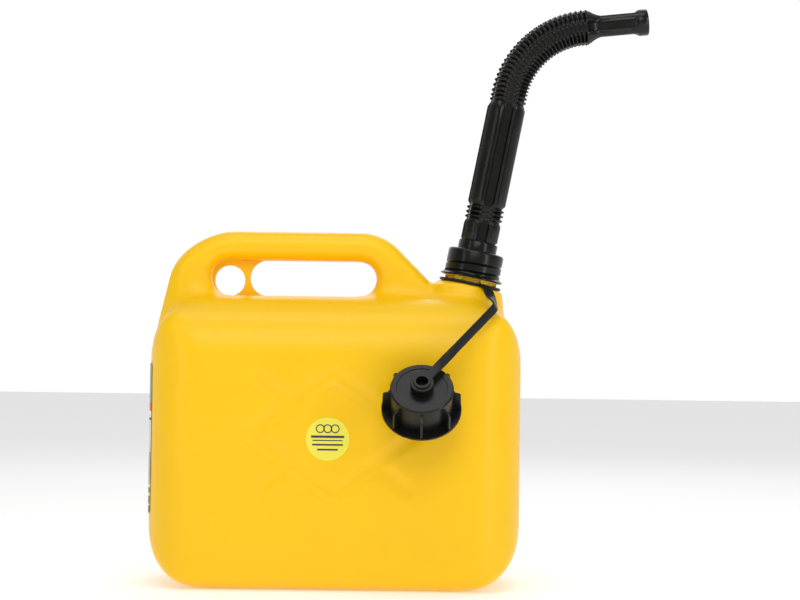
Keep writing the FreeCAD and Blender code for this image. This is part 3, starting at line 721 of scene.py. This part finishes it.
root_rows = [(point, upper_across(point)) for point in root_line]
strap_root = strap("strap_root", root_rows)
coat(strap_root, tether_plastic)
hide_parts("tether_upper_band")
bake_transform(strap_root)

eyelet_r, eyelet_hole, eyelet_thick = 8.0, 5.3, 1.8
run_end = eye - lower_run * (eyelet_r - 1.2)
run_line = [root.lerp(fold, share) for share in (0.5, 0.6, 0.7, 0.8)]
run_line += bent(fold - upper_run * fold_round, fold, fold + lower_run * fold_round)
run_line += [fold.lerp(run_end, share / 12) for share in range(1, 13)]
run_rows = []
for point in run_line:
    down = max(0, (point - fold).dot(lower_run)) / (run_end - fold).length
    turned = max(0, min(1, (down - 0.55) / 0.4))
    run_rows.append((point, fold_across.lerp(eye_across, turned * turned * (3 - 2 * turned))))
run_rows[:4] = [(point, upper_across(point)) for point, across in run_rows[:4]]
strap_run = strap("strap_run", run_rows)
half = eyelet_thick / 2
eyelet = stacked("eyelet", [(eyelet_hole + 0.3, -half), (eyelet_r - 0.3, -half), (eyelet_r, 0.3 - half),
                            (eyelet_r, half - 0.3), (eyelet_r - 0.3, half), (eyelet_hole + 0.3, half)])
combine(eyelet, drum("hole", eyelet_hole, -3, 3), "DIFFERENCE")
eye_place = Matrix.Translation(eye * MM) @ cap_out.to_track_quat("Z", "Y").to_matrix().to_4x4()
combine(strap_run, placed(eyelet, eye_place), "UNION")
coat(strap_run, tether_plastic)
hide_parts("tether_lower_band")
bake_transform(strap_run)

# ---------------------------------------------------------------- cap
# The cap that closes the can when it is carried, injection moulded in stiff black polypropylene: a chamfered
# disc on a skirt, eight fins over a wide flange to grip it by, and a stud on top for the tether's eyelet.
cap_plastic, tree, shader = finish_of("moulded polypropylene, satin black")
place = add(tree, "ShaderNodeTexCoord").outputs["Object"]
scuffs = add(tree, "ShaderNodeTexNoise", {"Vector": place, "Scale": 130.0, "Detail": 7.0, "Roughness": 0.75})
worn = add(tree, "ShaderNodeMapRange", {"Value": scuffs.outputs["Fac"], "From Min": 0.5, "From Max": 0.75})
colour = add(tree, "ShaderNodeMix", {"Factor": worn.outputs[0], colour_a: shade("#0C0D0B"),
                                     colour_b: shade("#20211E")}, data_type="RGBA")
grain = add(tree, "ShaderNodeTexNoise", {"Vector": place, "Scale": 1800.0, "Detail": 2.0})
bump = add(tree, "ShaderNodeBump", {"Height": grain.outputs["Fac"], "Strength": 0.35, "Distance": 0.00006})
tree.links.new(colour.outputs[mixed], shader.inputs["Base Color"])
tree.links.new(bump.outputs["Normal"], shader.inputs["Normal"])
shader.inputs["Roughness"].default_value = 0.34
shader.inputs["IOR"].default_value = 1.49
shader.inputs["Specular IOR Level"].default_value = 0.34
dress("cap", cap_plastic)

# ---------------------------------------------------------------- sticker and label
# A round vinyl sticker on the front wall and a paper label round the left end, both printed. Their print is
# plain marks and bars in flat ink.
def ink(name, code, roughness=0.45):
    """A flat printed colour, slightly uneven as ink on film is."""
    made, tree, shader = finish_of(name)
    place = add(tree, "ShaderNodeTexCoord").outputs["Object"]
    spread = add(tree, "ShaderNodeTexNoise", {"Vector": place, "Scale": 400.0, "Detail": 2.0})
    level = add(tree, "ShaderNodeMapRange", {"Value": spread.outputs["Fac"], "To Min": roughness - 0.06,
                                             "To Max": roughness + 0.06})
    tree.links.new(level.outputs[0], shader.inputs["Roughness"])
    shader.inputs["Base Color"].default_value = shade(code)
    shader.inputs["IOR"].default_value = 1.5
    return made


dress("front_sticker", ink("vinyl film, pale yellow", "#F4E84A", 0.4))

# the label's two upright borders are printed in blocks of colour, each from a height in millimetres
white, slate, leaf = "#F3F1EA", "#8A8E8C", "#6E9A74"
border_inner, border_low, border_high = 27, 50, 160
colour_blocks = ((57, white), (58.5, slate), (64, white), (66, leaf), (70, white), (72, "#B4B6B3"),
                 (95, "#E4E3DD"), (117.5, "#2F5B3C"), (119.5, white), (124, "#E8742A"), (129.5, "#A3AEA4"))
paper = ink("coated paper with a printed border", white, 0.55)
tree, shader = paper.node_tree, paper.node_tree.nodes["Principled BSDF"]
place = add(tree, "ShaderNodeSeparateXYZ", {0: add(tree, "ShaderNodeTexCoord").outputs["Object"]})
height = add(tree, "ShaderNodeMapRange", {"Value": place.outputs["Z"], "From Min": border_low * MM,
                                          "From Max": border_high * MM})
border = add(tree, "ShaderNodeValToRGB", {0: height.outputs[0]})
border.color_ramp.interpolation = "CONSTANT"
stops = border.color_ramp.elements
stops.remove(stops[1])
stops[0].color = shade(slate)
for z, code in colour_blocks:
    stops.new((z - border_low) / (border_high - border_low)).color = shade(code)
aside = add(tree, "ShaderNodeMath", {0: place.outputs["Y"]}, operation="ABSOLUTE")
edge = add(tree, "ShaderNodeMath", {0: aside.outputs[0], 1: border_inner * MM}, operation="GREATER_THAN")
printed = add(tree, "ShaderNodeMix", {"Factor": edge.outputs[0], colour_a: shade(white),
                                      colour_b: border.outputs[0]}, data_type="RGBA")
tree.links.new(printed.outputs[mixed], shader.inputs["Base Color"])
dress("side_label", paper)

print_dark, print_grey = ink("screen ink, dark blue", "#2B3550"), ink("offset ink, grey", "#8E9094")
print_orange, print_green = ink("offset ink, orange", "#E8742A"), ink("offset ink, green", "#3F8F58")
sticker_low, sticker_high = (Vector(c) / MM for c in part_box("front_sticker"))
sticker, face = (sticker_low + sticker_high) / 2, sticker_low.y
print_thick = 0.06


def marks(name, pieces, material):
    """Join printed marks into one thin piece of ink."""
    obj = merge(pieces[0], pieces[1:])
    obj.name = obj.data.name = name
    coat(obj, material)
    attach(obj, "can")


ring_in, ring_out = 2.3, 3.1
ring = stacked("ring", [(ring_in, 0), (ring_out, 0), (ring_out, print_thick), (ring_in, print_thick)], sides=48)
combine(ring, drum("hole", ring_in, -1, 1, sides=48), "DIFFERENCE")
printed = []
for x in (-5.2, 0, 5.2):
    one = ring.copy()
    one.data = ring.data.copy()
    bpy.context.collection.objects.link(one)
    middle = Matrix.Translation((sticker.x * MM + x * MM, face * MM, (sticker.z + 7.2) * MM))
    printed.append(placed(one, middle @ Matrix.Rotation(math.pi / 2, 4, "X")))
bpy.data.objects.remove(ring)
for z, half_wide, half_high in ((1.6, 11.5, 0.8), (-1.0, 10.4, 0.35), (-4.0, 10.8, 0.6), (-7.4, 7.2, 0.6)):
    printed.append(block("bar", (sticker.x - half_wide, face - print_thick, sticker.z + z - half_high),
                         (sticker.x + half_wide, face, sticker.z + z + half_high)))
marks("sticker_print", printed, print_dark)

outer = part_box("side_label")[0][0] / MM
label_rows = {"label_lines": (print_grey, [(-22, 22, 140, 142.4), (-22, 14, 134, 135.6), (-22, 18, 130, 131.6),
                                           (-22, 10, 126, 127.6), (-22, 22, 116, 118), (-22, 17, 110, 111.6),
                                           (-22, 20, 106, 107.6), (-22, 12, 102, 103.6), (-22, 20, 66, 67.6),
                                           (-22, 15, 62, 63.6)]),
              "label_panel": (print_orange, [(-22, -4, 82, 96)]),
              "label_band": (print_green, [(2, 20, 82, 96)])}
for name, (material, spans) in label_rows.items():
    marks(name, [block("mark", (outer - print_thick, y0, z0), (outer, y1, z1)) for y0, y1, z0, z1 in spans],
          material)

# ---------------------------------------------------------------- studio
# A white floor, a large soft key above the camera, narrow soft boxes either side of it and a room that is
# brighter behind the object.
bpy.ops.object.select_all(action="DESELECT")
bpy.ops.mesh.primitive_plane_add(size=14, location=(0, 0, 0))
floor = settle(bpy.context.object, "floor")
floor_paint, tree, shader = finish_of("studio floor, white and lit from below")
shader.inputs["Base Color"].default_value = shade("#F2F2F2")
shader.inputs["Roughness"].default_value = 0.9
shader.inputs["Emission Color"].default_value = shade("#FFFFFF")
shader.inputs["Emission Strength"].default_value = 0.3
floor.data.materials.append(floor_paint)

world = bpy.data.worlds.new("studio")
world.use_nodes = True
room = world.node_tree.nodes["Background"]
room.inputs["Color"].default_value = shade("#FFFFFF")
way = add(world.node_tree, "ShaderNodeTexCoord").outputs["Generated"]
behind = add(world.node_tree, "ShaderNodeSeparateXYZ", {0: way}).outputs["Y"]
level = add(world.node_tree, "ShaderNodeMapRange", {"Value": behind, "From Min": -0.1, "From Max": 0.85,
                                                    "To Min": 0.3, "To Max": 1.0})
world.node_tree.links.new(level.outputs[0], room.inputs["Strength"])
bpy.context.scene.world = world

target = Vector((0.02, 0, 0.18))


def softbox(name, place, wide, high, watts):
    """A rectangular soft light turned to the object."""
    lamp = bpy.data.lights.new(name, "AREA")
    lamp.shape = "RECTANGLE"
    lamp.size, lamp.size_y, lamp.energy = wide, high, watts
    made = bpy.data.objects.new(name, lamp)
    bpy.context.collection.objects.link(made)
    made.location = place
    made.rotation_euler = (target - Vector(place)).to_track_quat("-Z", "Y").to_euler()


softbox("key", (0.0, -1.45, 1.15), 1.0, 0.9, 7.6)
softbox("top", (0.0, -0.35, 1.5), 1.1, 0.6, 4.4)
softbox("strip_left", (-0.75, -0.75, 0.5), 0.06, 1.0, 0.9)
softbox("strip_right", (0.95, -0.8, 0.5), 0.08, 1.0, 2.4)
softbox("rim", (0.3, 1.3, 1.2), 1.2, 0.8, 3)

lens, sensor, distance, height, aim = 92.5, 36.0, 1.5, 0.165, 0.2064
camera_data = bpy.data.cameras.new("camera")
camera_data.lens, camera_data.sensor_width = lens, sensor
camera = bpy.data.objects.new("camera", camera_data)
bpy.context.collection.objects.link(camera)
camera.location = (0.0452, -distance, height)
pitch = math.atan2(aim - height, distance)
roll = math.radians(0.75)
level_and_up = Matrix.Rotation(math.pi / 2 + pitch, 3, "X")
camera.rotation_euler = (level_and_up @ Matrix.Rotation(roll, 3, "Z")).to_euler()
bpy.context.scene.camera = camera
bpy.context.scene.view_settings.view_transform = "Standard"
